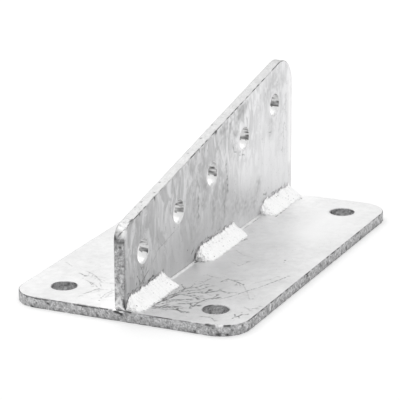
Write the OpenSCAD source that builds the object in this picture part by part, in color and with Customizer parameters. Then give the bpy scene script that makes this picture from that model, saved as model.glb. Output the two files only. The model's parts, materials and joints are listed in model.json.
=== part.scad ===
// Welded anchor plate: a flat base plate with four anchor holes, and an upright
// knife plate on its middle line that rises from one end to the other and has a
// row of bolt holes along its sloping edge. Short fillet welds join the two: three
// on the right-hand side, and two on the left, opposite the gaps between those.
// X runs along the knife plate towards its tall end, Z is up, and the origin is
// at the middle of the base plate's underside. Millimetres.

/* [Base plate] */
// Length of the base plate and of the knife plate that stands on it
plate_len = 300; // [240:1:600]
// Width of the base plate
plate_width = 180; // [120:1:300]
// Thickness of the base plate
plate_t = 8; // [4:0.5:20]
// Radius of the base plate's four corners
plate_corner_r = 22; // [2:0.5:30]

/* [Anchor holes] */
// Diameter of an anchor hole, for a 16 mm anchor with the coarse clearance
anchor_hole_d = 18.5; // [9:0.5:26]
// From each end of the base plate to the middle of an anchor hole
anchor_end_inset = 30; // [20:0.5:60]
// From each side of the base plate to the middle of an anchor hole
anchor_side_inset = 30; // [20:0.5:40]

/* [Knife plate] */
// Thickness of the knife plate
fin_t = 8; // [4:0.5:20]
// Height of the knife plate's low end above the base plate
fin_low_height = 60; // [50:1:110]
// Height of the knife plate's tall end above the base plate
fin_tall_height = 120; // [80:1:200]
// Radius of the top corner at the low end
fin_low_corner_r = 12; // [2:0.5:30]
// Radius of the top corner at the tall end
fin_tall_corner_r = 22; // [2:0.5:35]

/* [Bolt holes in the knife plate] */
// Diameter of a bolt hole, for a 16 mm bolt with the medium clearance
bolt_hole_d = 17.5; // [9:0.5:24]
// Distance from one bolt hole to the next, along the sloping edge
bolt_hole_pitch = 60; // [40:1:100]
// From each end of the knife plate to the row's first and last hole, at the least
bolt_hole_end_inset = 30; // [20:0.5:50]
// From the sloping edge to the row of bolt holes
bolt_hole_edge_inset = 30; // [18:0.5:40]

/* [Fillet welds] */
// Leg of a fillet weld on the base plate
weld_leg_plate = 12; // [4:0.5:18]
// Leg of a fillet weld on the knife plate
weld_leg_fin = 9; // [4:0.5:18]
// Height of the weld's crown above the straight line between its toes
weld_crown = 1.1; // [0:0.1:2.5]
// Length of the weld near the low end
weld_low_len = 66; // [20:1:80]
// Length of the weld in the middle
weld_mid_len = 74; // [20:1:100]
// Length of the weld near the tall end
weld_tall_len = 61; // [20:1:70]
// Length of each of the two welds on the left-hand side
weld_left_len = 70; // [20:1:80]
// From each end of the plates to the end welds
weld_setback = 2; // [0.5:0.5:10]
// How far the middle weld lies past the middle, towards the tall end
weld_mid_shift = 5; // [-15:1:15]
// Distance between two ripples of a weld
ripple_pitch = 4.5; // [3:0.5:8]
// Depth of the notch between two ripples
ripple_depth = 0.5; // [0:0.1:1]

/* [Hidden] */

zinc_dull = "#a9adb0";
zinc_bright = "#c3c7ca";
zinc_weld = "#f2f2f0";

// A cut runs this far past the faces that it opens
cut_past = 1;
round_fn = 96;
corner_steps = 20;

// Slope of the knife plate's top edge, and the height of that edge at a distance
// x from the low end, both without the rounded corners
fin_slope = atan2(fin_tall_height - fin_low_height, plate_len);
function fin_top(x) = fin_low_height + x * tan(fin_slope);

// A point that lies at a distance d square to the sloping edge, under it at x
function under_slope(x, d) = [x, fin_top(x) - d / cos(fin_slope)];

// The row's holes start at the low end, and as many follow as the length holds
bolt_hole_run = (plate_len - 2 * bolt_hole_end_inset) / cos(fin_slope);
bolt_hole_count = floor(bolt_hole_run / bolt_hole_pitch) + 1;

// Shape of a weld: how far its ends taper, how small it starts and stops, how far
// a ripple's middle trails its toes, and how much its toes wander
weld_end_taper = 5;
weld_end_share = 0.45;
ripple_trail = 2.4;
toe_wander = 0.5;
toe_wander_length = 19;
stations_per_ripple = 4;
face_steps = 6;

// Lies flat on the underside, with a hole through each corner
module base_plate() {
    color(zinc_dull)
    difference() {
        linear_extrude(height = plate_t)
            rounded_rectangle(plate_len, plate_width, plate_corner_r);
        for (sx = [-1, 1], sy = [-1, 1])
            translate([sx * (plate_len / 2 - anchor_end_inset),
                       sy * (plate_width / 2 - anchor_side_inset),
                       -cut_past])
                cylinder(h = plate_t + 2 * cut_past, d = anchor_hole_d, $fn = round_fn);
    }
}

module rounded_rectangle(length, width, r) {
    square([length - 2 * r, width], center = true);
    square([length, width - 2 * r], center = true);
    for (sx = [-1, 1], sy = [-1, 1])
        translate([sx * (length / 2 - r), sy * (width / 2 - r)])
            circle(r = r, $fn = round_fn);
}

// Stands on the base plate's middle line, with its row of holes along the slope
module fin_plate() {
    color(zinc_bright)
    translate([-plate_len / 2, 0, plate_t])
        rotate([90, 0, 0])
            difference() {
                linear_extrude(height = fin_t, center = true)
                    fin_outline();
                for (i = [0 : bolt_hole_count - 1])
                    translate(concat(bolt_hole_place(i), 0))
                        cylinder(h = fin_t + 2 * cut_past, d = bolt_hole_d,
                                 center = true, $fn = round_fn);
            }
}

function bolt_hole_place(i) =
    under_slope(bolt_hole_end_inset + i * bolt_hole_pitch * cos(fin_slope),
                bolt_hole_edge_inset);

// Four straight edges, with an arc at each top corner that touches both its edges
module fin_outline() {
    low = under_slope(fin_low_corner_r, fin_low_corner_r);
    tall = under_slope(plate_len - fin_tall_corner_r, fin_tall_corner_r);
    square_to_slope = 90 + fin_slope;
    polygon(concat(
        [[0, 0], [plate_len, 0]],
        corner_arc(tall, fin_tall_corner_r, 0, square_to_slope),
        corner_arc(low, fin_low_corner_r, square_to_slope, 180)
    ));
}

function corner_arc(middle, r, from, to) = [
    for (i = [0 : corner_steps])
        let (angle = from + (to - from) * i / corner_steps)
        middle + r * [cos(angle), sin(angle)]
];

// Where each weld on the right starts, as a distance from the low end
weld_low_start = weld_setback;
weld_mid_start = plate_len / 2 + weld_mid_shift - weld_mid_len / 2;
weld_tall_start = plate_len - weld_setback - weld_tall_len;

// The welds on the left lie opposite the middles of the gaps on the right
low_gap_middle = (weld_low_start + weld_low_len + weld_mid_start) / 2;
tall_gap_middle = (weld_mid_start + weld_mid_len + weld_tall_start) / 2;
weld_left_low_start = low_gap_middle - weld_left_len / 2;
weld_left_tall_start = tall_gap_middle - weld_left_len / 2;

// Side is -1 for the right-hand side, seen from the low end, and 1 for the left
module weld(side, start, length) {
    color(zinc_weld)
    translate([start - plate_len / 2, side * fin_t / 2, plate_t])
        mirror([0, side < 0 ? 1 : 0, 0])
            weld_bead(length);
}

// One bead of a fillet weld, in the corner of the planes y = 0 and z = 0, from
// x = 0 to x = length. Each station is a ring: the root first, then the face from
// the toe on the base plate round to the toe on the knife plate
module weld_bead(length) {
    stations = ceil(length / ripple_pitch) * stations_per_ripple;
    ring = face_steps + 2;
    points = [
        for (i = [0 : stations])
            each weld_ring(length * i / stations, length)
    ];
    skin = [
        for (i = [0 : stations - 1], k = [0 : ring - 1])
            each let (a = i * ring, b = a + ring, next = (k + 1) % ring)
                [[a + k, b + k, b + next], [a + k, b + next, a + next]]
    ];
    first_cap = [for (k = [1 : ring - 2]) [0, k, k + 1]];
    last = stations * ring;
    last_cap = [for (k = [1 : ring - 2]) [last, last + k + 1, last + k]];
    polyhedron(points = points, faces = concat(skin, first_cap, last_cap), convexity = 4);
}

function weld_ring(x, length) =
    let (size = weld_size(x, length))
    [
        [x, 0, 0],
        for (k = [0 : face_steps])
            weld_face_point(x, k / face_steps, size)
    ];

// Share of the full size that the bead has at x: full between its rounded ends
function weld_size(x, length) =
    let (from_end = min(x, length - x) / weld_end_taper,
         rise = from_end < 1 ? sqrt(1 - pow(1 - from_end, 2)) : 1)
    weld_end_share + (1 - weld_end_share) * rise;

// A point of the face, where u runs from 0 at the base plate to 1 at the knife
// plate. Crown and notches push it square to the line between the toes, and
// vanish at both toes, which stay on their plates
function weld_face_point(x, u, size) =
    let (toe_plate = size * (weld_leg_plate + toe_wander * sin(360 * x / toe_wander_length)),
         toe_fin = size * (weld_leg_fin + toe_wander * sin(360 * x / toe_wander_length + 130)),
         bulge = 4 * u * (1 - u),
         notch = 1 - abs(sin(180 * (x + ripple_trail * bulge) / ripple_pitch)),
         out = size * (weld_crown * bulge - ripple_depth * notch * min(1, 2 * bulge)),
         square_out = [weld_leg_fin, weld_leg_plate] / norm([weld_leg_fin, weld_leg_plate]))
    [x,
     toe_plate * (1 - u) + out * square_out.x,
     toe_fin * u + out * square_out.y];

base_plate();
fin_plate();
weld(-1, weld_low_start, weld_low_len);  // weld_right_low
weld(-1, weld_mid_start, weld_mid_len);  // weld_right_mid
weld(-1, weld_tall_start, weld_tall_len);  // weld_right_tall
weld(1, weld_left_low_start, weld_left_len);  // weld_left_low
weld(1, weld_left_tall_start, weld_left_len);  // weld_left_tall
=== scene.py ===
"""Dresses a welded, hot-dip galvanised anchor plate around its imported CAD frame.

The base plate and the knife plate are rebuilt with rounded, slightly ragged cut
edges and the zinc's own relief. The fillet welds are Geometry Nodes beads with
ripples, grain and feathered toes. Shapes are worked out in millimetres.
"""
import json
import math
import random
from functools import partial

import bmesh
import bpy
import numpy as np
from bpy.props import FloatProperty, FloatVectorProperty, PointerProperty
from mathutils import Matrix, Vector, noise
from mathutils.geometry import delaunay_2d_cdt


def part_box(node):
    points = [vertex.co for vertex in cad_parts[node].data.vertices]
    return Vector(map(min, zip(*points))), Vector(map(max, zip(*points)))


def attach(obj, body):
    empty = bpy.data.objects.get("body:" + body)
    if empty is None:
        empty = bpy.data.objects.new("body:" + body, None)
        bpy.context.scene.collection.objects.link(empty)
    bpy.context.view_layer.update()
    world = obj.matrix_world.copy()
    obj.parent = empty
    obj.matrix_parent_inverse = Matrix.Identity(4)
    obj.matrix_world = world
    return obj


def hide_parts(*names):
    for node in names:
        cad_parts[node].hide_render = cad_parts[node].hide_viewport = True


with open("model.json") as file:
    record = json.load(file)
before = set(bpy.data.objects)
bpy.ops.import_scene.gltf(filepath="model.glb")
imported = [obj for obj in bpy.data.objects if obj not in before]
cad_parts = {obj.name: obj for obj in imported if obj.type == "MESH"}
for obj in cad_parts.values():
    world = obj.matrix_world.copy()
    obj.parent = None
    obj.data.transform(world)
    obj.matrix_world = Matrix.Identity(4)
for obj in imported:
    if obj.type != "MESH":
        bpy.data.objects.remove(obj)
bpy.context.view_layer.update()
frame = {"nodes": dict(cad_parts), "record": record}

bl_info = {
    "name": "Galvanised anchor plate",
    "version": (1, 0, 0),
    "blender": (4, 5, 0),
    "location": "3D View > Sidebar > Anchor plate",
    "description": "Builds the visible surfaces of a welded, hot-dip galvanised anchor plate",
    "category": "Object",
}

MM = 0.001
MOUNTS = {mount["name"]: mount for mount in frame["record"]["mounts"]}
WELD_NODES = [name for name in sorted(frame["nodes"]) if name.startswith("weld_")]

# Kinds of node, with the operation of those that have several
NOISE = "ShaderNodeTexNoise"
RANGE = "ShaderNodeMapRange"
COMBINE = "ShaderNodeCombineXYZ"
SEPARATE = "ShaderNodeSeparateXYZ"
VECTOR = "ShaderNodeVectorMath:"
MATH = "ShaderNodeMath:"
PLUS = MATH + "ADD"
MINUS = MATH + "SUBTRACT"
TIMES = MATH + "MULTIPLY"
OVER = MATH + "DIVIDE"
TIMES_PLUS = MATH + "MULTIPLY_ADD"
POWER = MATH + "POWER"
ABSOLUTE = MATH + "ABSOLUTE"
LESSER = MATH + "MINIMUM"
GREATER = MATH + "MAXIMUM"


def linear(hex_colour):
    """Linear RGBA of an sRGB colour written as #rrggbb."""
    parts = [int(hex_colour[i:i + 2], 16) / 255 for i in (1, 3, 5)]
    return [c / 12.92 if c <= 0.04045 else ((c + 0.055) / 1.055) ** 2.4 for c in parts] + [1.0]


def box_mm(node):
    """Lowest and highest corners of a CAD node, in millimetres."""
    low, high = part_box(node)
    return low / MM, high / MM


def length(name, description, default, least=0, most=1000):
    """A length that the user can change. Its numbers are in millimetres."""
    return FloatProperty(name=name, description=description, default=default * MM,
                         min=least * MM, max=most * MM, unit="LENGTH")


def paint(name, description, hex_colour):
    """A colour that the user can change."""
    return FloatVectorProperty(name=name, description=description, default=linear(hex_colour),
                               subtype="COLOR", size=4, min=0, max=1)


class PlateSettings(bpy.types.PropertyGroup):
    """Sizes of the two plates that the frame's boxes don't give."""
    corner_radius: length("Base plate corner", "Radius of the base plate's four corners", 22, 2)
    low_height: length("Low end", "Height of the knife plate's low end above the base plate", 60, 40)
    tall_height: length("Tall end", "Height of the knife plate's tall end above the base plate", 120, 60)
    low_corner: length("Low corner", "Radius of the knife plate's top corner at its low end", 12, 2)
    tall_corner: length("Tall corner", "Radius of the knife plate's top corner at its tall end", 22, 2)
    arris: length("Arris", "Radius to which the zinc rounds the edges of the plates", 0.7, 0.2, 2)
    raggedness: length("Raggedness", "How far a thermally cut edge wanders in and out", 0.22, 0, 1)


class WeldSettings(bpy.types.PropertyGroup):
    """Sizes of the fillet welds."""
    leg_on_plate: length("Leg on the base plate", "Size of the fillet along the base plate", 12, 3)
    leg_on_fin: length("Leg on the knife plate", "Size of the fillet up the knife plate", 9, 3)
    crown: length("Crown", "Height of the bead above the straight line between its toes", 1.1)
    ripple_pitch: length("Ripple pitch", "Distance from one ripple of the bead to the next", 4.5, 1)
    ripple_depth: length("Ripple depth", "Depth of the notch between two ripples, as the zinc leaves it", 0.3)
    feather: length("Feathered toe", "Length of the zinc spikes along the bead's upper toe", 6)
    grain: length("Grain", "Height of the rough zinc grain on the bead", 0.7)


class ZincSettings(bpy.types.PropertyGroup):
    """Colours of the zinc on each kind of surface."""
    face: paint("Rolled face", "Colour of the zinc on the base plate's rolled faces", "#ECECEC")
    fin: paint("Knife plate face", "Colour of the zinc on the knife plate's sides", "#DFDFE0")
    cut: paint("Cut edge", "Colour of the zinc over a thermally cut edge", "#C6C6C7")
    slope: paint("Sloping edge", "Colour of the zinc that ran along the knife plate's top edge", "#D2D2D2")
    weld: paint("Weld", "Colour of the zinc over the weld beads", "#FFFFFF")


class StageSettings(bpy.types.PropertyGroup):
    """Light and floor."""
    lamp: FloatProperty(
        name="Lamp", description="Power of the large soft lamp", default=9, min=0, unit="POWER")
    sky: FloatProperty(name="Sky", description="Strength of the sky overhead", default=0.85, min=0)
    floor: paint("Floor", "Colour of the floor", "#E6E6E6")


# Where a weld's upper toe bears its longest zinc spikes, as a distance from its low end
TUFTS = {"weld_right_low": 55.0, "weld_right_mid": 68.0, "weld_right_tall": 11.0}

# Some of the marks below are not on the zinc but painted light and shade, each named where it stands.
# Marks on the zinc. Each is a line of points, its half width, its tone from -1 (light) to 1
# (dark), or past them where most of its width has the full tone, and how far it stands out, if it does.
# Points are in millimetres, on a face or in the part's own frame.

PLATE_TOP_MARKS_AND_PAINTED_LIGHT = [
    # Dark needles that fan out from the end of the first weld
    ([(-132, -17), (-120, -18), (-109, -18), (-103, -20), (-98, -23), (-89, -22)], 1.0, 0.7),
    ([(-133, -17), (-131, -22), (-128, -24), (-128, -30), (-125, -34)], 1.3, 0.8),
    ([(-135, -20), (-131, -26), (-127, -32)], 1.1, 0.8),
    ([(-134, -27), (-131, -35), (-135, -41)], 1.1, 0.65),
    ([(-120, -19), (-112, -21), (-103, -23), (-100, -28), (-95, -32), (-93, -39), (-87, -44)], 0.9, 0.8),
    ([(-87, -44), (-84, -48), (-86, -55)], 0.9, 0.6),
    ([(-102, -25), (-103, -32), (-104, -37), (-106, -40)], 1.0, 0.7),
    ([(-120, -32), (-117, -39), (-122, -43), (-115, -43), (-109, -44), (-103, -46), (-98, -52)], 1.0, 0.7),
    ([(-126, -20), (-117, -25), (-110, -32), (-108, -36)], 0.8, 0.6),
    ([(-118, -19), (-113, -26), (-112, -30)], 0.8, 0.6),
    ([(-99, -23), (-92, -27), (-88, -33), (-80, -36)], 0.8, 0.5),
    ([(-94, -21), (-86, -25), (-78, -24)], 0.7, 0.5),
    ([(-111, -20), (-98, -22), (-90, -22), (-85, -28), (-78, -31)], 0.9, 0.6),
    # A broad pool of painted light over the far part of the right-hand wing, and a broad dull patch
    ([(60, -55), (110, -55)], 35.0, -0.8), ([(-95, -68), (-70, -70), (-48, -78)], 12.0, 0.08),
    # Faint arcs further along, and the long scratch towards the right-hand edge
    ([(-66, -40), (-59, -42), (-62, -50), (-66, -57)], 0.9, 0.5),
    ([(-66, -57), (-79, -66), (-93, -74)], 0.8, 0.25),
    ([(-66, -21), (-60, -22), (-57, -25), (-60, -30)], 0.8, 0.35),
    ([(-78, -22), (-72, -23), (-72, -29), (-64, -30)], 0.8, 0.35),
    ([(-100, -54), (-90, -60), (-79, -64), (-68, -69), (-57, -73), (-36, -80)], 0.5, 0.75),
    ([(-60, -63), (-48, -70), (-40, -73)], 0.4, 0.3),
    # Beside and behind the near hole
    ([(-131, -78), (-125, -80), (-121, -81)], 0.9, 0.8), ([(-129, -82), (-125, -80)], 0.8, 0.6),
    ([(-109, -78), (-110, -82), (-106, -85)], 0.8, 0.4),
    ([(-137, -57), (-136, -61), (-137, -66)], 0.9, 0.5), ([(-24, -29), (-30, -38), (-19, -40)], 0.7, 0.2),
    ([(2, -21), (-6, -30), (-9, -41)], 0.7, 0.2),
    # Spots
    ([(-130, -35)], 1.6, 1.0), ([(-135, -42)], 1.5, 0.7), ([(-65, -57)], 1.1, 0.8), ([(-5, -64)], 1.1, 0.7),
    ([(-9, -65)], 0.9, 0.6), ([(-90, -75)], 1.0, 0.6), ([(-118, -79)], 1.0, 0.6), ([(-54, -21)], 0.8, 0.5),
    ([(-148, -74)], 1.4, 1.0, -0.2), ([(-146, -80), (-144, -83)], 1.5, 1.0), ([(-60, -30)], 0.8, 0.5),
    ([(-77, -22)], 0.9, 0.5), ([(-110, -66)], 0.8, 0.5),
    # Painted light between the welds, where the knife plate shades the base plate; raised runs of zinc in
    # both corners, painted white as a highlight along them; painted shade in the corner at the near end of
    # the middle weld; and dull spots beside the runs
    ([(-78, -18), (-15, -18)], 14.0, -0.5), ([(-85, -4.2), (-35, -4.2)], 0.7, -4.0, 1.1),
    ([(39, -4.2), (88, -4.2)], 0.7, -4.0, 1.1), ([(-36, -4.8), (-31, -5.4), (-31, -9)], 1.6, 1.1),
    ([(50, -6), (60, -6.2)], 0.8, 0.3), ([(68, -6.2), (80, -6)], 0.8, 0.35),
    ([(-150, 4.4), (-91, 4.4)], 1.1, -0.4, 0.7), ([(-19, 4.4), (29, 4.4)], 1.1, -0.8, 0.7),
    ([(100, 4.4), (149, 4.4)], 1.1, -0.4, 0.7),
    # Faint needles left of the knife plate
    ([(-92, 61), (-95, 56)], 0.9, 0.45), ([(-100, 55)], 1.2, 0.6), ([(-137, 23)], 1.1, 0.7),
    ([(-86, 59), (-90, 52), (-95, 46), (-102, 39)], 0.8, 0.35), ([(-135, 40), (-133, 39)], 0.9, 0.5),
    ([(-103, 51), (-107, 44), (-111, 39), (-116, 33)], 0.8, 0.4), ([(-102, 34), (-101, 30)], 0.9, 0.5),
    ([(-128, 39), (-123, 37), (-119, 36), (-115, 34)], 0.9, 0.5), ([(-105, 39), (-113, 33)], 0.7, 0.3),
    ([(-132, 24), (-123, 25), (-113, 23)], 0.8, 0.3), ([(-130, 22), (-121, 22), (-115, 20)], 0.7, 0.3),
    ([(-92, 80)], 0.9, 0.3), ([(-80, 75), (-74, 83)], 0.7, 0.2),
]
FIN_SIDE_MARKS_AND_PAINTED_SHADE = [
    # Broad dull and light patches, most of them under the sloping edge
    ([(14, 87), (40, 91), (60, 97)], 8.0, 0.3), ([(13, 78), (24, 86)], 9.0, 0.2),
    ([(12, 18), (14, 50)], 15.0, 0.17), ([(-36, 28), (-28, 62)], 15.0, 0.14),
    ([(124, 45), (124, 92)], 9.0, 0.09), ([(146, 30), (146, 100)], 6.0, -0.9),
    ([(-21, 75), (-18, 55)], 7.0, 0.1), ([(0, 38), (18, 40)], 8.0, 0.24),
    ([(-48, 78), (-35, 70)], 6.0, 0.13), ([(-133, 63), (-123, 54)], 5.0, 0.13),
    ([(33, 24), (67, 14)], 16.0, 0.2), ([(-25, 22), (-43, 12)], 14.0, 0.08),
    ([(95, 95), (125, 100)], 13.0, 0.17), ([(52, 46), (75, 36)], 9.0, -0.12),
    ([(-95, 62), (-97, 54)], 4.0, -0.14), ([(-69, 78), (-64, 66)], 4.0, -0.14),
    ([(-18, 42), (-14, 56)], 9.0, 0.28), ([(18, 22), (20, 42)], 9.0, 0.34),
    ([(74, 12), (84, 27)], 9.0, 0.22), ([(-29, 30), (-27, 44)], 8.0, 0.2),
    ([(38, 80), (43, 87)], 7.0, 0.36), ([(108, 62), (111, 78)], 9.0, 0.2),
    ([(-118, 34), (-114, 38)], 4.0, 0.15), ([(-22, 78), (-20, 84)], 5.0, 0.25),
    ([(108, 103), (112, 108)], 6.0, 0.2), ([(3, 41), (5, 50)], 7.0, 0.26),
    ([(48, 62), (55, 64)], 4.0, 0.25), ([(-2, 20), (0, 32)], 8.0, 0.2),
    # Dark needles above the first weld
    ([(-124, 25), (-121, 20), (-121, 14)], 0.5, 0.6), ([(-113, 18), (-121, 14), (-126, 12)], 0.6, 0.7),
    ([(-131, 15), (-133, 10)], 0.8, 0.8), ([(-114, 24), (-117, 17)], 0.5, 0.5),
    ([(-130, 20), (-126, 14)], 0.5, 0.6), ([(-109, 11), (-105, 12), (-100, 10)], 0.8, 0.8),
    ([(-70, 34), (-84, 31), (-96, 29), (-104, 23)], 0.4, 0.35),
    # Painted shade in the corner at the near end of the middle weld, where the bead meets the knife plate
    ([(-37, 2), (-34, 4), (-32, 7)], 1.9, 1.1), ([(-40, 8), (-36, 11)], 0.8, 0.7),
    # Columns of dark ticks
    ([(-28, 48), (-28, 45)], 0.7, 0.8), ([(-27, 42), (-28, 39)], 0.6, 0.7),
    ([(-28, 36), (-27, 33)], 0.8, 0.8), ([(22, 62), (22, 59)], 0.6, 0.6), ([(23, 56), (23, 53)], 0.7, 0.7),
    ([(24, 50), (24, 47)], 0.7, 0.8), ([(25, 42), (25, 38)], 0.8, 0.7),
    # Smudges, dashes and spots
    ([(35, 70), (37, 66)], 1.0, 0.5), ([(38, 65), (42, 64)], 0.7, 0.4), ([(47, 60), (56, 58)], 0.8, 0.5),
    ([(104, 63), (108, 62)], 0.6, 0.6), ([(131, 40)], 0.9, 0.6), ([(127, 11)], 0.8, 0.7),
    ([(-140, 42)], 0.9, 0.7), ([(-47, 13)], 0.8, 0.7), ([(-96, 31)], 0.7, 0.5),
    ([(94, 15), (98, 14)], 0.9, 0.8), ([(101, 11)], 0.8, 0.7), ([(110, 12), (115, 11)], 0.6, 0.5),
    ([(138, 87), (135, 62), (131, 41)], 0.5, 0.3),
]
PLATE_EDGE_MARKS_AND_PAINTED_LIGHT = [
    # Breaks in the bright line of the near edge
    ([(-150, 68, 7.3), (-150, 63, 7.3)], 0.9, 0.9), ([(-150, 62, 7.3), (-150, 57, 7.3)], 0.9, 0.8),
    ([(-150, 45, 7.3), (-150, 42, 7.3)], 0.8, 0.4), ([(-150, 34, 7.3), (-150, 26, 7.3)], 0.9, 1.0),
    # The marks from (-150, 4, 7) to (-150, -1, 5) lie beside the knife plate's foot: raised lumps painted
    # white as their highlight, and sunk hollows painted dark as their shade
    ([(-150, 24, 7.3), (-150, 17, 7.3)], 0.9, 0.8), ([(-150, 4, 7), (-150, -1, 6)], 1.7, 1.2, -0.4),
    ([(-150, 5, 8), (-150, 3, 8)], 1.4, -1.0, 0.5), ([(-150, 0, 7), (-150, -2, 8)], 1.5, -1.0, 0.5),
    ([(-150, -1, 5)], 1.4, 1.1, -0.4), ([(-150, -5, 8), (-150, -8, 8)], 1.2, 0.9),
    ([(-150, -66, 8), (-149, -72, 8)], 1.7, 1.0), ([(-148, -74, 8), (-148, -77, 8)], 2.0, -0.9, 0.4),
    ([(-147, -79, 8), (-145, -82, 8)], 1.8, 1.0), ([(-150, -71, 6)], 1.4, 0.8),
    # Lump beside the knife plate's foot, and a notch in the right-hand edge, painted dark on its sunk side as
    # shade and white on its raised side as a highlight
    ([(-150, 8, 7)], 5.0, 0.2, 0.8), ([(-97, -90, 6), (-97, -90, 3)], 1.3, 1.0, -0.3),
    ([(-93, -90, 7), (-93, -90, 3)], 1.2, -1.0, 0.2),
]
FIN_EDGE_MARKS_AND_PAINTED_SHADE = [
    # The low end: painted shade along both rounded arrises, torn and pitted at its foot and at its corner
    ([(-150, -4, 9), (-150, -4, 58)], 1.2, 0.3), ([(-150, 4, 9), (-150, 4, 58)], 1.0, 0.3),
    ([(-150, -4, 9), (-150, -3, 16)], 1.7, 0.9), ([(-150, 4, 13), (-150, 3, 20)], 1.6, 0.4),
    ([(-150, 4, 10), (-150, 1, 12), (-150, -3, 10), (-150, -4, 8)], 1.3, -1.2, 0.5),
    ([(-150, 3, 13), (-150, 0, 18)], 1.7, -0.8, 0.4), ([(-150, -2, 11), (-150, -1, 15)], 1.6, -0.7, 0.4),
    ([(-150, 1, 22), (-150, 2, 25)], 1.2, -0.6, 0.2), ([(-150, 0, 29), (-150, 2, 32)], 1.2, 0.8),
    ([(-150, 0, 38)], 1.3, 0.8, -0.2), ([(-150, 4, 61), (-150, 1, 58)], 3.4, 0.7),
    ([(-150, 0, 58), (-150, -4, 59)], 2.4, 0.65), ([(-150, 2, 54)], 2.2, 0.6),
    ([(-150, -1, 55)], 1.7, 1.0, -0.2), ([(-149, 4, 65)], 2.0, 0.8),
    ([(-149, 4, 63), (-150, 2, 60)], 1.6, 0.9),
    ([(-146, 1, 67), (-147, -3, 66), (-149, -3, 63)], 2.4, -1.0, 0.3),
    ([(-149, 1, 62), (-148, -1, 65), (-146, -3, 67)], 0.8, 1.0),
    ([(-146, 0, 67), (-147, -3, 64)], 1.0, 0.7), ([(-143, 3, 69), (-144, 0, 68)], 0.9, 0.5),
    ([(-138, -3, 70), (-135, -3, 71)], 1.6, 1.0), ([(-125, -4, 73)], 1.4, 1.0), ([(-140, 1, 70)], 0.9, 0.7),
    ([(-132, 3, 72)], 0.9, 0.6), ([(-128, 0, 72)], 0.8, 0.6),
    # Specks along the sloping edge
    ([(12, 3, 100)], 1.4, 1.2), ([(-10, 2, 96)], 1.3, 1.0), ([(2, -4, 98), (5, -4, 99)], 1.2, 1.0),
    ([(-26, -4, 93)], 1.3, 0.9), ([(-80, 2, 82)], 1.3, 1.0), ([(-110, 2, 76)], 1.3, 1.0),
    ([(-34, 1, 91)], 1.2, 0.9), ([(-95, -1, 79)], 1.2, 0.9), ([(-101, -4, 78)], 1.5, 1.1),
    ([(-118, 3, 74)], 1.3, 0.9), ([(44, -4, 107)], 1.4, 0.9),
]


# Node trees

def add(tree, kind, *values, **settings):
    """Adds a node with its settings and links. The kind is its type, with its operation after a colon.

    Values go to the node's inputs in order, or by name in a dict.
    """
    kind, _, operation = kind.partition(":")
    node = tree.nodes.new(kind)
    if operation:
        node.operation = operation
    for name, value in settings.items():
        setattr(node, name, value)
    wanted = list(enumerate(value for value in values if not isinstance(value, dict)))
    for named in values:
        if isinstance(named, dict):
            wanted += named.items()
    for socket, value in wanted:
        if isinstance(value, bpy.types.Node):
            value = next(out for out in value.outputs if out.enabled)
        if isinstance(value, bpy.types.NodeSocket):
            tree.links.new(value, node.inputs[socket])
        elif value is not None:
            node.inputs[socket].default_value = value
    return node


def emptied(owner):
    """Gives a material or world an empty node tree, and returns what adds a node to it."""
    owner.use_nodes = True
    owner.node_tree.nodes.clear()
    return partial(add, owner.node_tree)


def new_material(name):
    """A material, what adds a node to it, and the surface's place in millimetres."""
    material = bpy.data.materials.new(name)
    new = emptied(material)
    place = new("ShaderNodeTexCoord").outputs["Object"]
    return material, new, new(VECTOR + "SCALE", place, {"Scale": 1 / MM})


def shade(new, colour, *tones):
    """The colour times each tone."""
    shaded = colour if isinstance(colour, bpy.types.Node) else tuple(colour)[:3]
    for tone in tones:
        shaded = new(VECTOR + "MULTIPLY", shaded, tone)
    return shaded


def marked(new, base, darkest):
    """The colour darkened where the piece's mark is above 0, and whitened where it is below."""
    white = (0.98, 0.98, 0.98, 1)
    mark = new("ShaderNodeAttribute", attribute_name="mark").outputs["Fac"]
    dark = new(RANGE, mark, 0.0, 0.85, 1.0, darkest)
    light = new(RANGE, mark, -1.0, 0.0, 1.0, 0.0)
    mixed = new("ShaderNodeMix", {0: light, 6: shade(new, base, dark), 7: white}, data_type="RGBA")
    return mixed.outputs[2]


def finish(new, base, height, strength, metallic, roughness):
    """Ends a material with its colour, a bump of the height, and how metallic and how rough the zinc is."""
    bump = new("ShaderNodeBump", {"Strength": strength, "Distance": 0.3 * MM, "Height": height})
    zinc = new("ShaderNodeBsdfPrincipled",
               {"Base Color": base, "Metallic": metallic, "Roughness": roughness, "Normal": bump})
    new("ShaderNodeOutputMaterial", zinc)


def rolled_zinc(colour):
    """Hot-dip zinc on a rolled plate: cloudy, with specks of dross, and painted light beside the knife plate
    and to the tall end.
    """
    material, new, mm = new_material("hot_dip_zinc_on_rolled_plate")
    clouds = new(NOISE, mm, {"Scale": 1 / 26, "Detail": 3.0, "Roughness": 0.55})
    patches = new(NOISE, mm, {"Scale": 1 / 5, "Detail": 4.0, "Roughness": 0.6})
    parts = new(SEPARATE, mm)
    fin_distance_for_painted_light = new(ABSOLUTE, parts.outputs["Y"])
    specks = new(NOISE, mm, {"Scale": 1 / 1.6, "Detail": 2.0, "Roughness": 0.6})
    tones = [
        new(RANGE, clouds, 0.35, 0.65, 0.94, 1.02),
        new(RANGE, patches, 0.35, 0.65, 0.95, 1.03),
        # Painted light: lighter beside the knife plate, where it shades the base plate
        new(RANGE, fin_distance_for_painted_light, 8.0, 45.0, 1.18, 1.0),
        # Painted light: lighter towards the tall end
        new(RANGE, parts.outputs["X"], 20.0, 120.0, 1.0, 1.04),
        new(RANGE, specks, 0.66, 0.76, 1.0, 0.6),
    ]
    base = marked(new, shade(new, colour, *tones), darkest=0.16)
    finish(new, base, patches, strength=0.3, metallic=0.85, roughness=0.42)
    return material


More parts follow.
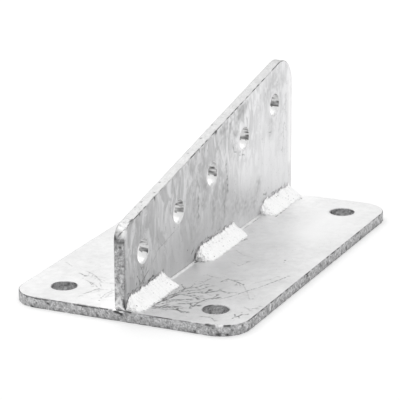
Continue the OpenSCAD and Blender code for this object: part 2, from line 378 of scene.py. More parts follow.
def drained_zinc(colour):
    """Hot-dip zinc on an upright plate, with flame-shaped streaks; painted shade to its low end, painted
    light to its tall end.
    """
    material, new, mm = new_material("hot_dip_zinc_drained_down_a_plate")
    fall = new("ShaderNodeMapping", mm, {"Scale": (0.17, 0.17, 0.055)})
    broad = new("ShaderNodeMapping", mm, {"Scale": (0.075, 0.075, 0.030)})
    streaks = new(NOISE, fall, {"Scale": 1.0, "Detail": 3.0, "Roughness": 0.6, "Distortion": 1.2})
    flames = new(NOISE, broad, {"Scale": 1.0, "Detail": 4.0, "Roughness": 0.6, "Distortion": 1.6})
    zones = new(NOISE, mm, {"Scale": 1 / 60, "Detail": 2.0, "Roughness": 0.5})
    specks = new(NOISE, mm, {"Scale": 1 / 1.6, "Detail": 2.0, "Roughness": 0.6})
    parts = new(SEPARATE, mm)
    painted_light_drift = new(TIMES_PLUS, zones, 150.0, parts.outputs["X"])
    height = new(TIMES_PLUS, parts.outputs["X"], -0.2, parts.outputs["Z"])
    calm = new(RANGE, parts.outputs["X"], 50.0, 100.0, 1.0, 0.55)
    stirred = new(RANGE, height, 25.0, 80.0, 0.15, calm)
    contrast = new(RANGE, streaks, 0.36, 0.64, -0.10, 0.10)
    licks = new(RANGE, flames, 0.46, 0.54, -0.15, 0.13)
    tones = [
        # Painted shade and light: darker towards the low end, lighter towards the tall end
        new(RANGE, painted_light_drift, 30.0, 150.0, 0.83, 1.10),
        new(RANGE, parts.outputs["Z"], 12.0, 45.0, 0.92, 1.0),
        new(TIMES_PLUS, contrast, stirred, 1.0),
        new(TIMES_PLUS, licks, stirred, 1.0),
        new(RANGE, specks, 0.66, 0.76, 1.0, 0.6),
    ]
    base = marked(new, shade(new, colour, *tones), darkest=0.18)
    finish(new, base, streaks, strength=0.3, metallic=0.85, roughness=0.40)
    return material


def cut_zinc(colour, mottling):
    """Hot-dip zinc over a thermally cut edge: darker than on a face, more or less mottled, and grainy."""
    material, new, mm = new_material("hot_dip_zinc_on_cut_edge")
    mottle = new(NOISE, mm, {"Scale": 1 / 2.6, "Detail": 4.0, "Roughness": 0.7})
    grain = new(NOISE, mm, {"Scale": 1 / 1.2, "Detail": 3.0, "Roughness": 0.6})
    tones = [
        new(RANGE, mottle, 0.36, 0.64, 1 - 0.34 * mottling, 1 + 0.26 * mottling),
        new(RANGE, grain, 0.38, 0.62, 0.80, 1.16),
    ]
    base = marked(new, shade(new, colour, *tones), darkest=0.12)
    finish(new, base, grain, strength=0.6, metallic=0.7, roughness=0.5)
    return material


def sloping_zinc(colour):
    """Hot-dip zinc over the knife plate's cut edges: light and even, with small dark specks."""
    material, new, mm = new_material("hot_dip_zinc_on_sloping_edge")
    grain = new(NOISE, mm, {"Scale": 1 / 1.4, "Detail": 3.0, "Roughness": 0.6})
    specks = new(NOISE, mm, {"Scale": 1 / 1.3, "Detail": 1.0, "Roughness": 0.6})
    parts = new(SEPARATE, mm)
    low_end = new(RANGE, parts.outputs["X"], -135.0, -75.0, 0.45, 1.0)
    tall_end = new(RANGE, parts.outputs["X"], 100.0, 130.0, 1.0, 0.65)
    worn = new(LESSER, low_end, tall_end)
    tones = [
        new(RANGE, grain, 0.38, 0.62, 0.92, 1.04),
        new(RANGE, specks, 0.68, 0.76, 1.0, 0.6),
        new(RANGE, grain, 0.56, 0.66, 1.0, worn),
    ]
    base = marked(new, shade(new, colour, *tones), darkest=0.12)
    finish(new, base, grain, strength=0.35, metallic=0.8, roughness=0.45)
    return material


def weld_zinc(colour):
    """Hot-dip zinc over a weld: thick, fibrous and nearly white, with a few dark pinholes."""
    material, new, mm = new_material("hot_dip_zinc_on_weld")
    combed = new("ShaderNodeMapping", mm, {"Scale": (1 / 0.9, 1 / 4.0, 1 / 4.0)})
    fibres = new(NOISE, combed, {"Scale": 1.0, "Detail": 3.0, "Roughness": 0.6, "Distortion": 0.6})
    holes = new(NOISE, mm, {"Scale": 1 / 1.5, "Detail": 1.0, "Roughness": 0.5})
    tones = [
        new(RANGE, fibres, 0.30, 0.55, 0.95, 1.0),
        new(RANGE, holes, 0.69, 0.75, 1.0, 0.45),
    ]
    finish(new, shade(new, colour, *tones), fibres, strength=0.35, metallic=1.0, roughness=0.32)
    return material


# Plates

# Width of the rim round a face and its holes, as a multiple of the arris
RIM = 1.6
# Distance between two points along a cut edge
EDGE_STEP = 0.8
# Marks with a lesser half width get points of their own in the face
NARROW = 3


def rounded_outline(corners, step):
    """Points along a polygon with round corners, and their outward normals.

    Corners are (x, y, radius), counterclockwise.
    """
    points, normals = [], []
    count = len(corners)
    arcs = []
    for i, (x, y, r) in enumerate(corners):
        here = Vector((x, y))
        before = (here - Vector(corners[i - 1][:2])).normalized()
        after = (Vector(corners[(i + 1) % count][:2]) - here).normalized()
        turn = before.angle(after)
        middle = here - before * r * math.tan(turn / 2) + Vector((-before.y, before.x)) * r
        arcs.append((middle, r, math.atan2(-before.x, before.y), turn))
    for i, (middle, r, start, turn) in enumerate(arcs):
        pieces = max(3, math.ceil(r * turn / step))
        for k in range(pieces + 1):
            angle = start + turn * k / pieces
            normals.append((math.cos(angle), math.sin(angle)))
            points.append((middle.x + r * math.cos(angle), middle.y + r * math.sin(angle)))
        there, other_r, other_start, _ = arcs[(i + 1) % count]
        normal = Vector((math.cos(other_start), math.sin(other_start)))
        goal = there + normal * other_r
        last = Vector(points[-1])
        pieces = max(1, math.ceil((goal - last).length / step))
        for k in range(1, pieces):
            points.append(tuple(last.lerp(goal, k / pieces)))
            normals.append(tuple(normal))
    return np.array(points), np.array(normals)


def hole_outline(middle, radius, step):
    """Points round a hole, and normals that point out of the plate, into the hole."""
    count = math.ceil(2 * math.pi * radius / step)
    angles = np.arange(count) * 2 * math.pi / count
    around = np.column_stack([np.cos(angles), np.sin(angles)])
    return np.array(middle) + radius * around, -around


def rim_rows(thickness, arris, side_rows=8, arris_rows=4):
    """Rows of a rim from the upper face to the lower one.

    Each is a distance in from the edge, a height, and the share of the cut's wander.
    """
    upper = [(RIM * arris, thickness, 0.0)]
    for k in range(arris_rows + 1):
        share = k / arris_rows
        angle = share * math.pi / 2
        upper.append((arris * (1 - math.sin(angle)), thickness - arris * (1 - math.cos(angle)), share))
    depth = thickness - 2 * arris
    middle = [(0.0, thickness - arris - depth * k / side_rows, 1.0) for k in range(1, side_rows)]
    lower = [(inset, thickness - height, share) for inset, height, share in reversed(upper)]
    return upper + middle + lower


def rough_cut(point, raggedness):
    """How far a cut edge stands out at a point: slow wander, drag lines and grain."""
    slow = noise.noise(point / 9.0)
    drag = noise.noise(Vector((point.x / 1.7, point.y / 1.7, point.z / 9.0)))
    grain = noise.noise(point / 1.1)
    return raggedness * (0.8 * slow + 0.5 * drag + 0.35 * grain) - 0.3 * raggedness


def wavy(path):
    """The path of a mark in short steps that wander a little, as drawn by an unsteady hand."""
    if len(path) == 1:
        return [Vector(path[0])]
    steps = []
    for start, end in zip(path, path[1:]):
        a, b = Vector(start), Vector(end)
        count = max(1, round((b - a).length / 1.2))
        steps += [a.lerp(b, k / count) for k in range(count)]
    steps.append(Vector(path[-1]))
    for step in steps[1:-1]:
        spot = step.to_3d() / 2.6
        step[0] += 0.45 * noise.noise(spot)
        step[1] += 0.45 * noise.noise(spot + Vector((9, 4, 2)))
    return steps


def twigs(marks, chance, least_half):
    """Short, fainter needles that branch off the dark ones that aren't too thin."""
    grown_twigs = []
    for path, half, tone, *_ in marks:
        if tone < 0.3 or half < least_half or len(path) < 3:
            continue
        for start, end in zip(path, path[1:]):
            a, b = Vector(start), Vector(end)
            for _ in range(max(1, round((b - a).length / 4.5))):
                root = a.lerp(b, chance.random())
                lean = Matrix.Rotation(math.radians(chance.choice((-1, 1)) * chance.uniform(15, 50)), 2)
                tip = root + lean @ (b - a).normalized() * chance.uniform(3, 9)
                faded = tone * chance.uniform(0.4, 0.9)
                grown_twigs.append(([tuple(root), tuple(tip)], half * 0.75, faded))
    return grown_twigs


def toe_marks(chance, toe, spread):
    """Dark dashes beside the toes of the welds on the right.

    Toe is how far across the face the toes lie, and spread how far from there the dashes reach.
    """
    specks = []
    spacing, short_of_end = 4.0, 6.0
    for node in WELD_NODES:
        low, high = box_mm(node)
        if low.y > 0:
            continue
        for _ in range(round((high.x - low.x) / spacing)):
            x = chance.uniform(low.x, high.x - short_of_end)
            y = toe + chance.uniform(0, 1) * spread
            dash = (x + chance.uniform(0.6, 3.0), y + chance.uniform(-0.6, 0.6))
            specks.append(([(x, y), dash], chance.uniform(0.5, 0.9), chance.uniform(0.15, 0.6)))
    return specks


def mark_points(paths):
    """Points on each mark's line and on both sides of it, close enough to draw it."""
    found = []
    for path, half, *_ in paths:
        if len(path) == 1:
            ring = [math.pi / 4 * k for k in range(8)]
            for share in (0.5, 1.0):
                found += [path[0] + Vector((math.cos(a), math.sin(a))) * half * share for a in ring]
            found.append(path[0])
        for a, b in zip(path, path[1:]):
            across = (b - a).orthogonal().normalized() * half
            found += [a, a.lerp(b, 0.5), a + across, a - across, a + across / 2, a - across / 2]
    return found


def marked_by(points, paths):
    """Tone and lift that the marks give each point: full on a mark's line, none beyond its half width."""
    points = np.array(points, float)
    tones = np.zeros(len(points))
    lifts = np.zeros(len(points))
    for path, half, tone, *lift in paths:
        line = np.array([tuple(p) for p in path])
        close = ((points > line.min(0) - half) & (points < line.max(0) + half)).all(1).nonzero()[0]
        if not len(close):
            continue
        gaps = np.full(len(close), half)
        for start, end in zip(line, line[1:] if len(line) > 1 else line):
            run = end - start
            share = np.clip((points[close] - start) @ run / max(run @ run, 1e-9), 0, 1)
            gaps = np.minimum(gaps, np.linalg.norm(points[close] - start - share[:, None] * run, axis=1))
        near = 1 - gaps / half
        stronger = abs(near * tone) > abs(tones[close])
        tones[close[stronger]] = near[stronger] * tone
        lifts[close] += near * sum(lift)
    return tones, lifts


def edge_tone(world, bent, up, low):
    """Tone of a cut edge at a point: broken lines of painted shade along its arrises, and pits and light
    patches between them.

    Bent is 1 on the flat of the edge and less on its arrises. Up is how far the edge faces upwards, from -1
    to 1, where zinc that ran along it covers its pits. Low is how near the point lies to the far side, the
    lower face; painted shade darkens the edge and its arris towards it, next to the floor.
    """
    bare = min(1.0, max(0.1, 1.15 - 1.25 * up))
    if bent < 1:
        # Painted shade: a broken dark line along each arris, darker on the base plate's lower arris
        return max(0.0, 0.35 + 0.3 * low + 1.4 * noise.noise(world / 5.0)) * math.sin(bent * math.pi)
    patch = noise.noise(world / 3.4 + Vector((3, 8, 1)))
    pit = noise.noise(world / 1.4 + Vector((7, 2, 5)))
    # The low term is painted shade towards the floor; the patches and pits are the cut's own mottle
    dark = 0.25 * low ** 3 + 1.2 * max(0.0, patch - 0.15) + 1.6 * max(0.0, pit - 0.25)
    return bare * (dark - 1.0 * max(0.0, -0.25 - pit))


def dulled(world):
    """Extra tone of the knife plate's upright edge at its low end, where the zinc is dull and thin."""
    return 0.1 if world.x <= -149 and 40 <= world.z <= 62 else 0.0


def bore_painted_light_shade_and_stains(rise, world):
    """Tone of a bore's wall: a painted highlight low in it, a band of painted shade with dark streaks over
    that, and stains above.

    Rise is -1 at the bore's lowest point and 1 at its highest.
    """
    wave = 0.08 * noise.noise(world / 2.5)
    stripe = noise.noise(Vector((world.x / 4, world.y / 5, world.z / 1.6)))
    # Painted highlight: the lower wall made white where it faces up and reflects the sky
    if rise < wave - 0.42:
        return -1.0
    # Painted shade: a dark band across the middle of the wall
    if rise < wave - 0.05:
        return 0.55 + 0.6 * stripe
    return max(-0.2, 1.8 * stripe) * (1.15 - rise)


def face_points(outline, normals, holes, rim, spacing):
    """A triangular grid of points inside the rims of a plate, none close to a rim."""
    row_height = 0.866
    low, high = outline.min(0), outline.max(0)
    rows = int((high[1] - low[1]) / (spacing * row_height)) + 1
    columns = int((high[0] - low[0]) / spacing) + 1
    grid = np.array([
        (low[0] + (column + 0.5 * (row % 2)) * spacing, low[1] + row * spacing * row_height)
        for row in range(rows) for column in range(columns)
    ])
    inside = room(grid, outline, normals, holes) > rim + 0.5 * spacing
    return grid[inside]


def room(points, outline, normals, holes):
    """Distance of each point to the nearest edge of a plate or a hole in it. The outline is convex."""
    every = slice(None, None, 3)
    offsets = (outline[every] * normals[every]).sum(1)
    gap = (offsets - points @ normals[every].T).min(1)
    for middle, radius in holes:
        gap = np.minimum(gap, np.linalg.norm(points - np.array(middle), axis=1) - radius)
    return gap


def rim_shape(outline, normals, kind, rows, place, raggedness, edge_marks_and_painted_light, drained):
    """Points of a rim and their tones, and its faces and their kinds of surface.

    Kind is 1 for a plate's edge and 2 for a hole. The upright parts of a drained plate's edge get 3.
    """
    count = len(outline)
    thickness = rows[0][1]
    turned = place.to_3x3().normalized()
    flat = [(x, y, height) for _, height, _ in rows for x, y in outline]
    worlds = [place @ Vector(p) / MM for p in flat]
    set_tones, lifts = marked_by(worlds, edge_marks_and_painted_light)
    points, tones, faces, kinds = [], [], [], []
    for k, ((x, y, height), world) in enumerate(zip(flat, worlds)):
        inset, _, share = rows[k // count]
        nx, ny = normals[k % count]
        stand = share * (rough_cut(world, raggedness) + lifts[k])
        points.append((x + nx * (stand - inset), y + ny * (stand - inset), height))
        if abs(set_tones[k]) > 0.15 or not share:
            tones.append(set_tones[k])
        elif kind == 2 and drained:
            tones.append(bore_painted_light_shade_and_stains(-ny, world) if share > 0.5 else 0.0)
        else:
            up = (turned @ Vector((nx, ny, 0))).z
            # Low darkens the base plate's edge towards the floor as painted shade
            low = 1 - height / thickness if kind == 1 and not drained else 0.0
            # For the base plate's bores, the 0.15 is painted shade inside the holes
            dull = dulled(world) if drained else 0.15 * (kind == 2)
            tones.append(edge_tone(world, share, up, low) + dull * (share == 1))
    for row in range(len(rows) - 1):
        for i in range(count):
            j = (i + 1) % count
            a = row * count
            faces.append((a + i, a + count + i, a + count + j, a + j))
            upright = drained and kind == 1 and (turned @ Vector((*normals[i], 0))).z < 0.45
            edge = 3 if upright else kind
            kinds.append(edge if rows[row][2] or rows[row + 1][2] else 0)
    return points, tones, faces, kinds


def plate_mesh(name, corners, holes, thickness, settings, place, materials, face_marks_and_painted_light, edge_marks_and_painted_light,
               spacings=(2.4, 9.0), drained=False):
    """A plate with rounded, ragged edges and holes, and a face of small triangles on both sides.

    The outline lies in the plane of x and y, and the plate stands from z = 0 to its
    thickness. Place moves it to where it belongs. Materials are those of its faces, its
    edge and its bores, and of the edge's upright parts where the plate is a drained one.
    """
    arris = settings.arris / MM
    outline, normals = rounded_outline(corners, EDGE_STEP)
    rims = [(outline, normals, 1)] + [(*hole_outline(*hole, EDGE_STEP), 2) for hole in holes]
    rows = rim_rows(thickness, arris)
    drawn = [(wavy(path), *rest) for path, *rest in face_marks_and_painted_light]
    narrow = [mark for mark in drawn if mark[1] < NARROW]
    set_in = [([Vector(p) for p in path], *rest) for path, *rest in edge_marks_and_painted_light]
    points, marks, faces, kinds = [], [], [], []
    first_rows, last_rows = [], []
    for rim in rims:
        start, count = len(points), len(rim[0])
        more = rim_shape(*rim, rows, place, settings.raggedness / MM, set_in, drained)
        points += more[0]
        marks += more[1]
        faces += [tuple(start + i for i in face) for face in more[2]]
        kinds += more[3]
        first_rows.append(list(range(start, start + count)))
        last_rows.append(list(range(len(points) - count, len(points))))
    rim = RIM * arris
    for side, loops, spacing in ((1, first_rows, spacings[0]), (-1, last_rows, spacings[1])):
        inner = face_points(outline, normals, holes, rim, spacing)
        base = thickness if side > 0 else 0.0
        tones, lifts = np.zeros((2, len(inner)))
        if side > 0:
            inner = inner[marked_by(inner, [(path, half + 0.4, 1) for path, half, *_ in narrow])[0] <= 0]
            extra = np.array([tuple(p) for p in mark_points(narrow)])
            inner = np.vstack([inner, extra[room(extra, outline, normals, holes) > rim + 0.3]])
            tones, lifts = marked_by(inner, drawn)
        ramp = np.clip((room(inner, outline, normals, holes) - rim) / 4, 0, 1)
        ids = [i for loop in loops for i in loop]
        flat = [Vector(points[i][:2]) for i in ids] + [Vector(p) for p in inner]
        start = len(points)
        for (x, y), fade, tone, raised in zip(inner, ramp, tones, lifts):
            world = place @ Vector((x, y, base)) / MM
            lift = 0.07 * fade * noise.noise(world / 11.0) + 0.04 * fade * noise.noise(world / 4.0) + raised
            points.append((x, y, base + side * lift))
            marks.append(tone * max(0.0, 1 + 1.5 * noise.noise(world / 1.5)) if tone > 0 else tone)
        ids += range(start, len(points))
        outer = list(range(len(loops[0])))
        _, _, triangles, origin, _, _ = delaunay_2d_cdt(flat, [], [outer], 1, 1e-6)
        back = [ids[source[0]] for source in origin]
        for triangle in triangles:
            middle = np.mean([points[back[k]][:2] for k in triangle], axis=0)
            if any(np.linalg.norm(middle - np.array(m)) < r + 0.9 * rim for m, r in holes):
                continue
            order = triangle if side > 0 else reversed(triangle)
            faces.append(tuple(back[k] for k in order))
            kinds.append(0)
    mesh = bpy.data.meshes.new(name)
    mesh.from_pydata(points, [], faces)
    mesh.polygons.foreach_set("material_index", kinds)
    mesh.polygons.foreach_set("use_smooth", [True] * len(faces))
    mark = mesh.attributes.new("mark", "FLOAT", "POINT")
    mark.data.foreach_set("value", marks)
    mesh.transform(place)
    for material in materials:
        mesh.materials.append(material)
    return finished(mesh)


def finished(mesh):
    """An object of the mesh, with its doubles merged and its faces outwards."""
    shape = bmesh.new()
    shape.from_mesh(mesh)
    bmesh.ops.remove_doubles(shape, verts=shape.verts, dist=0.001 * MM)
    bmesh.ops.recalc_face_normals(shape, faces=shape.faces)
    shape.to_mesh(mesh)
    shape.free()
    piece = bpy.data.objects.new(mesh.name, mesh)
    bpy.context.scene.collection.objects.link(piece)
    return piece


class ANCHOR_PLATE_OT_base_plate(bpy.types.Operator):
    """Makes the base plate, with its four anchor holes"""
    bl_idname = "anchor_plate.base_plate"
    bl_label = "Base plate"

    def execute(self, context):
        sizes = context.scene.anchor_plate_sizes
        zinc = context.scene.anchor_plate_zinc
        low, high = box_mm("base_plate")
        r = sizes.corner_radius / MM
        corners = [(low.x, low.y, r), (high.x, low.y, r), (high.x, high.y, r), (low.x, high.y, r)]
        dims = MOUNTS["anchor_holes"]["dims"]
        across, along = dims["spacing_y_mm"] / 2, dims["spacing_x_mm"] / 2
        holes = [((sx * along, sy * across), dims["hole_r_mm"]) for sx in (-1, 1) for sy in (-1, 1)]
        materials = [rolled_zinc(zinc.face), cut_zinc(zinc.cut, 1.0), cut_zinc(zinc.cut, 0.4)]
        place = Matrix.Scale(MM, 4)
        chance = random.Random(5)
        toe = box_mm("fin_plate")[0].y - context.scene.anchor_plate_welds.leg_on_plate / MM
        top_marks_and_painted_light = PLATE_TOP_MARKS_AND_PAINTED_LIGHT + twigs(PLATE_TOP_MARKS_AND_PAINTED_LIGHT, chance, 0.7) + toe_marks(chance, toe, -1.2)
        piece = plate_mesh("base_plate_surface", corners, holes, high.z - low.z, sizes, place, materials,
                           top_marks_and_painted_light, PLATE_EDGE_MARKS_AND_PAINTED_LIGHT)
        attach(piece, "root")
        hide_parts("base_plate")
        return {"FINISHED"}


class ANCHOR_PLATE_OT_knife_plate(bpy.types.Operator):
    """Makes the knife plate, with its sloping top edge and row of bolt holes"""
    bl_idname = "anchor_plate.knife_plate"
    bl_label = "Knife plate"

    def execute(self, context):
        sizes = context.scene.anchor_plate_sizes
        zinc = context.scene.anchor_plate_zinc
        low, high = box_mm("fin_plate")
        foot = 1.6
        corners = [
            (low.x, 0.0, foot), (high.x, 0.0, foot),
            (high.x, sizes.tall_height / MM, sizes.tall_corner / MM),
            (low.x, sizes.low_height / MM, sizes.low_corner / MM),
        ]
        bores = [mount for name, mount in sorted(MOUNTS.items()) if name.startswith("bolt_hole_")]
        holes = [((m["pos_m"][0] / MM, m["pos_m"][2] / MM - low.z), m["dims"]["r_mm"]) for m in bores]
        materials = [
            drained_zinc(zinc.fin), sloping_zinc(zinc.slope), sloping_zinc(zinc.face),
            cut_zinc(zinc.cut, 1.0),
        ]
        chance = random.Random(12)
        foot_marks = toe_marks(chance, context.scene.anchor_plate_welds.leg_on_fin / MM + 0.6, 2.2)
        stand = Matrix(((1, 0, 0, 0), (0, 0, -1, high.y), (0, 1, 0, low.z), (0, 0, 0, 1)))
        place = Matrix.Scale(MM, 4) @ stand
        piece = plate_mesh("knife_plate_surface", corners, holes, high.y - low.y, sizes, place, materials,
                           FIN_SIDE_MARKS_AND_PAINTED_SHADE + twigs(FIN_SIDE_MARKS_AND_PAINTED_SHADE, chance, 0.5) + foot_marks, FIN_EDGE_MARKS_AND_PAINTED_SHADE,
                           spacings=(2.4, 2.4), drained=True)
        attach(piece, "root")
        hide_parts("fin_plate")
        return {"FINISHED"}


# Welds

# Share of the way round a bead that its face takes up; its back has the rest
FACE_SHARE = 0.75
# How deep a bead's back lies inside the plates
SINK = 0.25
# How far a weld's far end leans back at its upper toe. The last weld on each side ends square
END_LEAN = 4.5


def bead_tree():
    """Geometry Nodes for one fillet bead along x, in the corner of the planes y = 0 and z = 0.

    Lengths are in millimetres.
    """
    ripple_trail = 2.4
    ripple_stray = 7.0
    toe_fray = 6.0
    spike_lean = 0.22
    lean_reach = 16.0
    end_tear = 9.0
    tree = bpy.data.node_groups.new("fillet bead", "GeometryNodeTree")
    sizes = ("Length", "Step", "Leg on Plate", "Leg on Fin", "Crown", "Ripple Pitch", "Ripple Depth",
             "Feather", "Tuft Place", "Grain", "Wander", "Taper", "Blunt", "Lean", "Seed")
    sockets = [("Geometry", "Geometry"), *((name, "Float") for name in sizes),
               ("Ring Points", "Int"), ("Material", "Material")]
    for name, kind in sockets:
        tree.interface.new_socket(name, in_out="INPUT", socket_type="NodeSocket" + kind)
    tree.interface.new_socket("Geometry", in_out="OUTPUT", socket_type="NodeSocketGeometry")
    new = partial(add, tree)
    given = new("NodeGroupInput").outputs

    # A straight tube of radius 1, whose points are then placed one by one
    end = new(COMBINE, given["Length"])
    line = new("GeometryNodeCurvePrimitiveLine", {"End": end})
    stations = new(OVER, given["Length"], given["Step"])
    path = new("GeometryNodeResampleCurve", {"Curve": line, "Count": stations})
    circle = new("GeometryNodeCurvePrimitiveCircle", {"Resolution": given["Ring Points"], "Radius": 1.0})
    tube = new("GeometryNodeCurveToMesh", {"Curve": path, "Profile Curve": circle, "Fill Caps": True})

    # The way round goes along the face first, from the toe on the base plate, and then along the back
    spot = new(SEPARATE, new("GeometryNodeInputPosition"))
    x = spot.outputs["X"]
    angle = new(MATH + "ARCTAN2", spot.outputs["Z"], spot.outputs["Y"])
    turn = new(OVER, angle, 2 * math.pi)
    around = new(MATH + "FRACT", new(PLUS, turn, 1.00001))
    u = new(OVER, around, FACE_SHARE, use_clamp=True)
    back = new(RANGE, around, FACE_SHARE, 1.0, 0.0, 1.0)
    on_face = new(MATH + "LESS_THAN", around, FACE_SHARE + 0.00001)

    # Size along the bead: full between its rounded ends
    rest = new(MINUS, given["Length"], x)
    from_end = new(LESSER, x, rest)
    share = new(OVER, from_end, given["Taper"], use_clamp=True)
    left = new(MINUS, 1.0, share)
    steep = new(POWER, left, 2.0)
    rise = new(MATH + "SQRT", new(MINUS, 1.0, steep))
    size = new(RANGE, rise, 0.0, 1.0, given["Blunt"], 1.0)

    # Toes wander, and the upper one is feathered with short spikes
    seeded = new(COMBINE, x, given["Seed"], 0.0)
    low_wave = new(NOISE, seeded, {"Scale": 0.16, "Detail": 3.0, "Roughness": 0.7})
    high_place = new(VECTOR + "ADD", seeded, (31.0, 17.0, 5.0))
    high_wave = new(NOISE, high_place, {"Scale": 0.16, "Detail": 3.0, "Roughness": 0.7})
    spikes = new(NOISE, high_place, {"Scale": 0.42, "Detail": 1.0, "Roughness": 0.8})
    spiked = new(RANGE, spikes, 0.46, 0.60, 0.0, 1.0)
    hairs = new(NOISE, high_place, {"Scale": 0.85, "Detail": 1.0, "Roughness": 0.6})
    haired = new(RANGE, hairs, 0.44, 0.58, 0.0, 1.0)
    apart = new(ABSOLUTE, new(MINUS, x, given["Tuft Place"]))
    tuft = new(RANGE, apart, 1.5, 6.0, 1.0, 0.55)
    both_spikes = new(TIMES_PLUS, spiked, 0.45, new(TIMES, haired, 0.55))
    spike = new(TIMES, both_spikes, tuft)
    plume = new(TIMES, spike, given["Feather"])
    low_shift = new(RANGE, low_wave, 0.2, 0.8, -1.0, 1.0)
    high_shift = new(RANGE, high_wave, 0.2, 0.8, -2.2, 0.2)
    low_toe = new(TIMES_PLUS, low_shift, given["Wander"], given["Leg on Plate"])
    high_toe = new(TIMES_PLUS, high_shift, given["Wander"], given["Leg on Fin"])

    # The face: crown and ripples between the toes, and grain all over
    sheet = new(COMBINE, x, new(TIMES, u, 15.0), given["Seed"])
    fine = new(NOISE, sheet, {"Scale": 0.85, "Detail": 3.0, "Roughness": 0.7})
    coarse = new(NOISE, sheet, {"Scale": 0.28, "Detail": 2.0, "Roughness": 0.5})
    across = new(MINUS, 1.0, u)
    hump = new(TIMES, new(TIMES, u, across), 4.0)
    trailed = new(TIMES_PLUS, hump, ripple_trail, new(TIMES_PLUS, coarse, ripple_stray, x))
    phase = new(OVER, trailed, given["Ripple Pitch"])
    wave = new(MATH + "SINE", new(TIMES, phase, math.pi))
    notch = new(MINUS, 1.0, new(ABSOLUTE, wave))
    depth = new(TIMES, notch, given["Ripple Depth"])
    cover = new(TIMES, hump, 2.0, use_clamp=True)
    cut = new(TIMES, depth, cover)
    swell = new(TIMES, given["Crown"], hump)
    smooth_out = new(MINUS, swell, cut)
    both = new(MINUS, new(PLUS, fine, coarse), 1.0)
    lumps = new(TIMES, both, given["Grain"])
    rough_out = new(TIMES_PLUS, lumps, cover, smooth_out)
    out = new(TIMES, rough_out, size)

    # The face's point, and the back's, which lies just inside the two plates
    legs = new(COMBINE, 0.0, given["Leg on Fin"], given["Leg on Plate"])
    outward = new(VECTOR + "SCALE", new(VECTOR + "NORMALIZE", legs), {"Scale": out})
    tip = new(POWER, u, 6.0)
    foot = new(POWER, across, 8.0)
    tall = new(TIMES, high_toe, u)
    tall_tip = new(TIMES_PLUS, plume, tip, tall)
    frayed = new(TIMES, foot, new(MINUS, hairs, 0.5))
    wide = new(TIMES_PLUS, frayed, toe_fray, new(TIMES, low_toe, across))
    lean = new(TIMES, new(TIMES, plume, tip), spike_lean)
    face_y = new(TIMES_PLUS, wide, size, lean)
    face_z = new(TIMES, tall_tip, size)
    torn = new(TIMES, new(MINUS, fine, 0.5), left)

    # The far end leans back: its upper toe stops short of its lower one
    climb = new(MINUS, u, back)
    short = new(TIMES, new(RANGE, rest, 0.0, lean_reach, given["Lean"], 0.0), climb)
    drawn_x = new(MINUS, x, short)
    face_x = new(TIMES_PLUS, torn, end_tear, drawn_x)
    face_spot = new(COMBINE, face_x, face_y, face_z)
    face_point = new(VECTOR + "ADD", face_spot, outward)
    back_wide = new(RANGE, back, 0.5, 1.0, 0.0, low_toe)
    back_tall = new(RANGE, back, 0.0, 0.5, high_toe, 0.0)
    back_y = new(TIMES_PLUS, back_wide, size, -SINK)
    back_z = new(TIMES_PLUS, back_tall, size, -SINK)
    back_point = new(COMBINE, drawn_x, back_y, back_z)
    point = new("ShaderNodeMix", {0: on_face, 4: back_point, 5: face_point}, data_type="VECTOR")
    shaped = new("GeometryNodeSetPosition", {"Geometry": tube, "Position": point.outputs[1]})
    soft = new("GeometryNodeSetShadeSmooth", {"Geometry": shaped})
    real = new("GeometryNodeRealizeInstances", soft)
    painted = new("GeometryNodeSetMaterial", {"Geometry": real, "Material": given["Material"]})
    new("NodeGroupOutput", painted)
    return tree


def grown(name, tree, place, **inputs):
    """A plain mesh object of what the tree makes from the named inputs, moved to its place."""
    blank = bpy.data.meshes.new(name)
    carrier = bpy.data.objects.new(name, blank)
    bpy.context.scene.collection.objects.link(carrier)
    modifier = carrier.modifiers.new(name, "NODES")
    modifier.node_group = tree
    for socket in tree.interface.items_tree:
        key = socket.name.lower().replace(" ", "_")
        if socket.in_out == "INPUT" and key in inputs:
            modifier[socket.identifier] = inputs[key]
    seen = carrier.evaluated_get(bpy.context.evaluated_depsgraph_get())
    mesh = bpy.data.meshes.new_from_object(seen)
    bpy.data.objects.remove(carrier)
    bpy.data.meshes.remove(blank)
    mesh.name = name
    mesh.transform(place)
    return finished(mesh)


class ANCHOR_PLATE_OT_welds(bpy.types.Operator):
    """Makes the fillet welds along the knife plate's foot"""
    bl_idname = "anchor_plate.welds"
    bl_label = "Fillet welds"

    def execute(self, context):
        sizes = context.scene.anchor_plate_welds
        material = weld_zinc(context.scene.anchor_plate_zinc.weld)
        tree = bead_tree()
        fin_low, fin_high = box_mm("fin_plate")
        for seed, node in enumerate(WELD_NODES):
            low, high = box_mm(node)
            side = 1 if low.y > 0 else -1
            face = fin_high.y if side > 0 else fin_low.y
            corner = Matrix.Translation((low.x, face, low.z)) @ Matrix.Diagonal((1, side, 1, 1))
            place = Matrix.Scale(MM, 4) @ corner
            piece = grown(
                node + "_bead", tree, place, length=high.x - low.x, step=0.28, ring_points=40,
                tuft_place=TUFTS.get(node, 30.0), wander=0.6, taper=7.0, blunt=0.08,
                lean=0.0 if node.endswith("tall") else END_LEAN, seed=23.0 * seed, material=material,
                **{name: getattr(sizes, name) / MM for name in WeldSettings.__annotations__})
            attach(piece, "root")
            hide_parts(node)
        return {"FINISHED"}


# Stage

def seen_directly(new):
    """1 for the rays of the camera, of gloss and through glass, and 0 for those that carry light."""
    rays = new("ShaderNodeLightPath").outputs
    seen = new(GREATER, rays["Is Camera Ray"], rays["Is Glossy Ray"])
    return new(GREATER, seen, rays["Is Transmission Ray"])


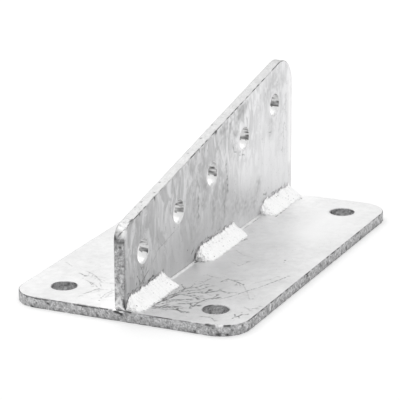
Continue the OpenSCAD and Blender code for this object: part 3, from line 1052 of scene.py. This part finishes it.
def floor_material(colour):
    """A pale floor that the camera and reflections see as white, and that keeps soft shadows."""
    material = bpy.data.materials.new("pale_floor")
    new = emptied(material)
    glow = new("ShaderNodeEmission", {"Color": (1, 1, 1, 1), "Strength": 0.42})
    matt = new("ShaderNodeBsdfDiffuse", {"Color": colour})
    lit = new("ShaderNodeAddShader", matt, glow)
    new("ShaderNodeOutputMaterial", new("ShaderNodeMixShader", seen_directly(new), matt, lit))
    return material


def sky(world, strength):
    """White where the camera and reflections see it. Its light is brightest overhead."""
    new = emptied(world)
    place = new("ShaderNodeTexCoord").outputs["Generated"]
    up = new(RANGE, new(SEPARATE, place).outputs["Z"], 0.0, 1.0, 0.25, 1.0)
    plain = new("ShaderNodeBackground", (1, 1, 1, 1), new(TIMES, up, strength))
    white = new("ShaderNodeBackground", (1, 1, 1, 1), 1.0)
    new("ShaderNodeOutputWorld", new("ShaderNodeMixShader", seen_directly(new), plain, white))


class ANCHOR_PLATE_OT_stage(bpy.types.Operator):
    """Makes the floor, the light and the camera"""
    bl_idname = "anchor_plate.stage"
    bl_label = "Stage"

    def execute(self, context):
        scene = context.scene
        settings = scene.anchor_plate_stage
        reach = 6.0
        corners = [(-reach, -reach, 0), (reach, -reach, 0), (reach, reach, 0), (-reach, reach, 0)]
        mesh = bpy.data.meshes.new("floor")
        mesh.from_pydata(corners, [], [(0, 1, 2, 3)])
        mesh.materials.append(floor_material(settings.floor))
        floor = bpy.data.objects.new("floor", mesh)
        # A hair below the part, so that no two faces lie in one plane
        floor.location.z = -0.02 * MM
        scene.collection.objects.link(floor)
        scene.world = bpy.data.worlds.new("sky")
        sky(scene.world, settings.sky)

        lamp = bpy.data.lights.new("soft_lamp", "AREA")
        lamp.energy = settings.lamp
        lamp.shape = "DISK"
        lamp.size = 1.6
        holder = bpy.data.objects.new("soft_lamp", lamp)
        holder.location = (0.6, 0.9, 1.8)
        holder.rotation_euler = (-holder.location).to_track_quat("-Z", "Y").to_euler()
        scene.collection.objects.link(holder)
        camera(scene)
        scene.view_settings.view_transform = "Standard"
        return {"FINISHED"}


def camera(scene):
    """A camera that sees the part as the photograph does."""
    azimuth, elevation, roll = math.radians(-64.98), math.radians(17.78), math.radians(-0.39)
    distance = 1.738
    aim = Vector((0.0, 7.6, 44.4)) * MM
    back = Vector((
        math.sin(azimuth) * math.cos(elevation),
        -math.cos(azimuth) * math.cos(elevation),
        math.sin(elevation),
    ))
    lens = bpy.data.cameras.new("camera")
    lens.sensor_width = 36
    lens.lens = 208.2
    lens.clip_end = 30
    holder = bpy.data.objects.new("camera", lens)
    holder.matrix_world = (Matrix.Translation(aim + back * distance)
                           @ back.to_track_quat("Z", "Y").to_matrix().to_4x4()
                           @ Matrix.Rotation(roll, 4, "Z"))
    scene.collection.objects.link(holder)
    scene.camera = holder


class ANCHOR_PLATE_PT_panel(bpy.types.Panel):
    """Lists the settings and the makers of the anchor plate's pieces"""
    bl_idname = "ANCHOR_PLATE_PT_panel"
    bl_label = "Anchor plate"
    bl_space_type = "VIEW_3D"
    bl_region_type = "UI"
    bl_category = "Anchor plate"

    def draw(self, context):
        for name, group in GROUPS.items():
            column = self.layout.column(align=True)
            for prop in group.__annotations__:
                column.prop(getattr(context.scene, name), prop)
        for operator in OPERATORS:
            self.layout.operator(operator.bl_idname)


GROUPS = {
    "anchor_plate_sizes": PlateSettings,
    "anchor_plate_welds": WeldSettings,
    "anchor_plate_zinc": ZincSettings,
    "anchor_plate_stage": StageSettings,
}
OPERATORS = (
    ANCHOR_PLATE_OT_base_plate, ANCHOR_PLATE_OT_knife_plate, ANCHOR_PLATE_OT_welds, ANCHOR_PLATE_OT_stage,
)
CLASSES = (*GROUPS.values(), *OPERATORS, ANCHOR_PLATE_PT_panel)


def register():
    for cls in CLASSES:
        bpy.utils.register_class(cls)
    for name, group in GROUPS.items():
        setattr(bpy.types.Scene, name, PointerProperty(type=group))


def unregister():
    for name in GROUPS:
        delattr(bpy.types.Scene, name)
    for cls in reversed(CLASSES):
        bpy.utils.unregister_class(cls)


def main():
    register()
    bpy.ops.anchor_plate.base_plate()
    bpy.ops.anchor_plate.knife_plate()
    bpy.ops.anchor_plate.welds()
    bpy.ops.anchor_plate.stage()


if __name__ == "__main__":
    main()
